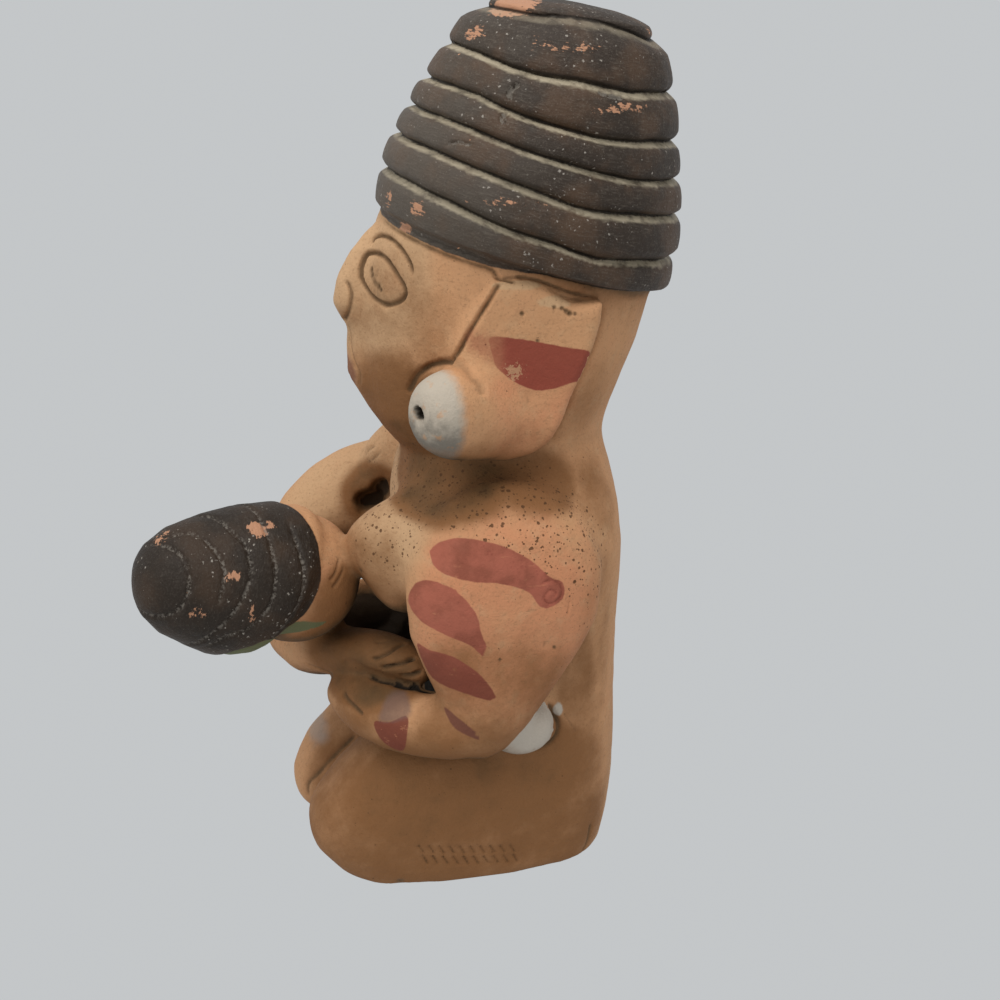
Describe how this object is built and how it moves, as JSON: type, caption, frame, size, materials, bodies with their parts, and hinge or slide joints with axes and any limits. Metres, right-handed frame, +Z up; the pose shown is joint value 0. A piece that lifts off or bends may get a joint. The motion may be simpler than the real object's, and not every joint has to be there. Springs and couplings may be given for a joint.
{
  "type": "terracotta mother and child statue",
  "caption": "Kneeling terracotta mother in a tall coiled turban, nursing a child whose capped head is held out in front of her, fired clay with painted patches.",
  "frame": {"origin": "middle of the flat underside", "axes": "+Z up, the mother faces -Y, her left side is +X"},
  "size_m": [0.1258, 0.1747, 0.282],
  "materials": {
    "terracotta": "matt fired clay, with a black-brown slip on the turban and cap and patches of red ochre, blue-grey, green and white paint"
  },
  "bodies": {
    "root": {"mother_and_child": "terracotta"}
  },
  "joints": []
}
